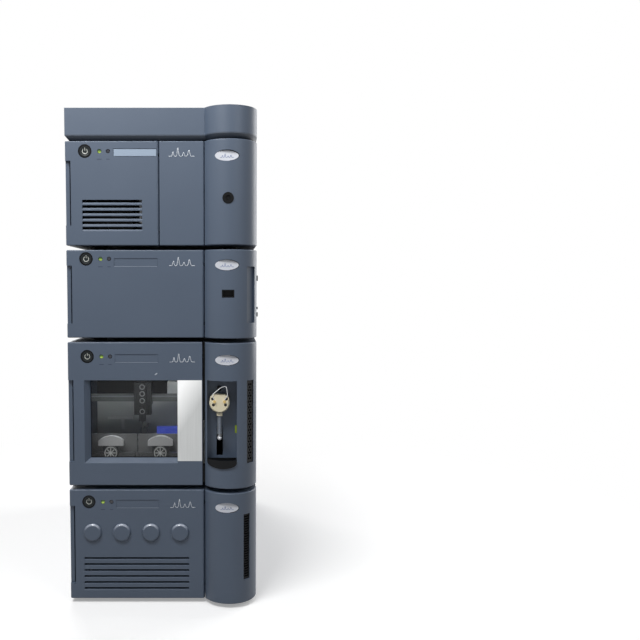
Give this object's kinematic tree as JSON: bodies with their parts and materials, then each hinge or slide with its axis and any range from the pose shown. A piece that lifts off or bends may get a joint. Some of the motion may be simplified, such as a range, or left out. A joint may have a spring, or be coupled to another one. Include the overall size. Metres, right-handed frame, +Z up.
{
  "type": "liquid chromatography system",
  "caption": "Stack of bench instrument modules with round right-hand towers, hinged front doors, a glazed sample door, a syringe niche and an open bottle tray on top.",
  "frame": {"origin": "on the bench, under the middle of the stack's outline", "axes": "+Z up, +Y towards the rear, +X to the right as seen from the front"},
  "size_m": [0.3454, 0.711, 0.9],
  "materials": {
    "slate_moulding": "satin moulded plastic",
    "slate_enclosure": "fine textured paint",
    "bay_metal": "matt dark paint",
    "black_rubber": "matt",
    "liner_mat": "matt ribbed",
    "black_plastic": "satin",
    "button_plastic": "satin",
    "name_plate_blue": "satin film",
    "bright_steel": "brushed",
    "badge_silver": "satin silver",
    "tinted_glass": "tinted",
    "clear_glass": "clear",
    "cast_aluminium": "cast",
    "steel": "turned",
    "carrier_grey": "satin",
    "valve_ivory": "satin",
    "plunger_white": "gloss",
    "green_lens": "lit lens",
    "dark_lens": "unlit lens",
    "connector_plastic": "satin"
  },
  "bodies": {
    "stack": {"solvent_tray": "slate_moulding", "tray_liner": "liner_mat", "pump_chassis": "bay_metal", "pump_cover": "slate_enclosure", "sampler_chassis": "bay_metal", "sampler_cover": "slate_enclosure", "column_chassis": "bay_metal", "column_cover": "slate_enclosure", "detector_chassis": "bay_metal", "detector_cover": "slate_enclosure", "detector_panel": "slate_moulding", "detector_tower": "slate_moulding", "port_plug": "black_rubber", "lamp_housing": "cast_aluminium", "flow_cell": "cast_aluminium", "heat_exchanger": "cast_aluminium", "sampler_tower": "slate_moulding", "sampler_vent": "black_plastic", "left_carrier": "carrier_grey", "right_carrier": "carrier_grey", "needle_rail": "cast_aluminium", "syringe_valve": "valve_ivory", "syringe_barrel": "clear_glass", "capillary_loop": "steel", "drip_cup": "black_plastic", "pump_tower": "slate_moulding", "pump_vent": "black_plastic", "pump_head_1": "steel", "pump_head_2": "steel", "pump_head_3": "steel", "pump_head_4": "steel", "leak_tray": "black_plastic", "module_feet": "black_rubber", "switch_guides": "black_plastic", "run_lights": "green_lens", "fault_lights": "dark_lens", "oval_badges": "badge_silver", "hinge_pins": "steel", "mains_inlets": "connector_plastic", "rear_sockets": "connector_plastic"},
    "lamp_door": {"lamp_door": "slate_moulding", "name_plate": "name_plate_blue"},
    "column_door": {"column_door": "slate_moulding"},
    "sampler_door": {"sampler_door": "slate_moulding", "sampler_window": "tinted_glass", "bright_strip": "bright_steel"},
    "pump_door": {"pump_door": "slate_moulding"},
    "oven_compartment": {"oven_compartment": "slate_moulding", "oven_port": "black_plastic", "oven_badge": "badge_silver", "side_fittings": "steel", "heater_trough": "cast_aluminium", "separation_column": "steel"},
    "needle_carriage": {"needle_carriage": "carrier_grey"},
    "needle_arm": {"needle_arm": "steel"},
    "syringe_plunger": {"syringe_plunger": "plunger_white"},
    "pump_power_button": {"pump_power_button": "button_plastic"},
    "sampler_power_button": {"sampler_power_button": "button_plastic"},
    "column_power_button": {"column_power_button": "button_plastic"},
    "detector_power_button": {"detector_power_button": "button_plastic"}
  },
  "joints": [
    {"name": "lamp_door_hinge", "type": "hinge", "parent": "stack", "child": "lamp_door", "pos_m": [-0.01015, -0.32175, 0.7495], "axis": [0, 0, 1], "range_deg": [0, 90]},
    {"name": "column_door_hinge", "type": "hinge", "parent": "stack", "child": "column_door", "pos_m": [0.07045, -0.32175, 0.57], "axis": [0, 0, 1], "range_deg": [0, 90]},
    {"name": "sampler_door_hinge", "type": "hinge", "parent": "stack", "child": "sampler_door", "pos_m": [0.06665, -0.32175, 0.3515], "axis": [0, 0, 1], "range_deg": [0, 90]},
    {"name": "pump_door_hinge", "type": "hinge", "parent": "stack", "child": "pump_door", "pos_m": [0.07045, -0.32175, 0.11], "axis": [0, 0, 1], "range_deg": [0, 90]},
    {"name": "oven_swing", "type": "hinge", "parent": "stack", "child": "oven_compartment", "pos_m": [0.16525, -0.208, 0.57], "axis": [0, 0, 1], "range_deg": [0, 90]},
    {"name": "pump_power_press", "type": "slide", "parent": "stack", "child": "pump_power_button", "axis": [0, 1, 0], "range_m": [0, 0.002], "stiffness_N_per_m": 600},
    {"name": "sampler_power_press", "type": "slide", "parent": "stack", "child": "sampler_power_button", "axis": [0, 1, 0], "range_m": [0, 0.002], "stiffness_N_per_m": 600},
    {"name": "column_power_press", "type": "slide", "parent": "stack", "child": "column_power_button", "axis": [0, 1, 0], "range_m": [0, 0.002], "stiffness_N_per_m": 600},
    {"name": "detector_power_press", "type": "slide", "parent": "stack", "child": "detector_power_button", "axis": [0, 1, 0], "range_m": [0, 0.002], "stiffness_N_per_m": 600},
    {"name": "carriage_slide", "type": "slide", "parent": "stack", "child": "needle_carriage", "axis": [1, 0, 0], "range_m": [-0.06, 0.06]},
    {"name": "needle_lift", "type": "slide", "parent": "needle_carriage", "child": "needle_arm", "axis": [0, 0, -1], "range_m": [0, 0.022]},
    {"name": "plunger_draw", "type": "slide", "parent": "stack", "child": "syringe_plunger", "axis": [0, 0, -1], "range_m": [0, 0.022]}
  ]
}
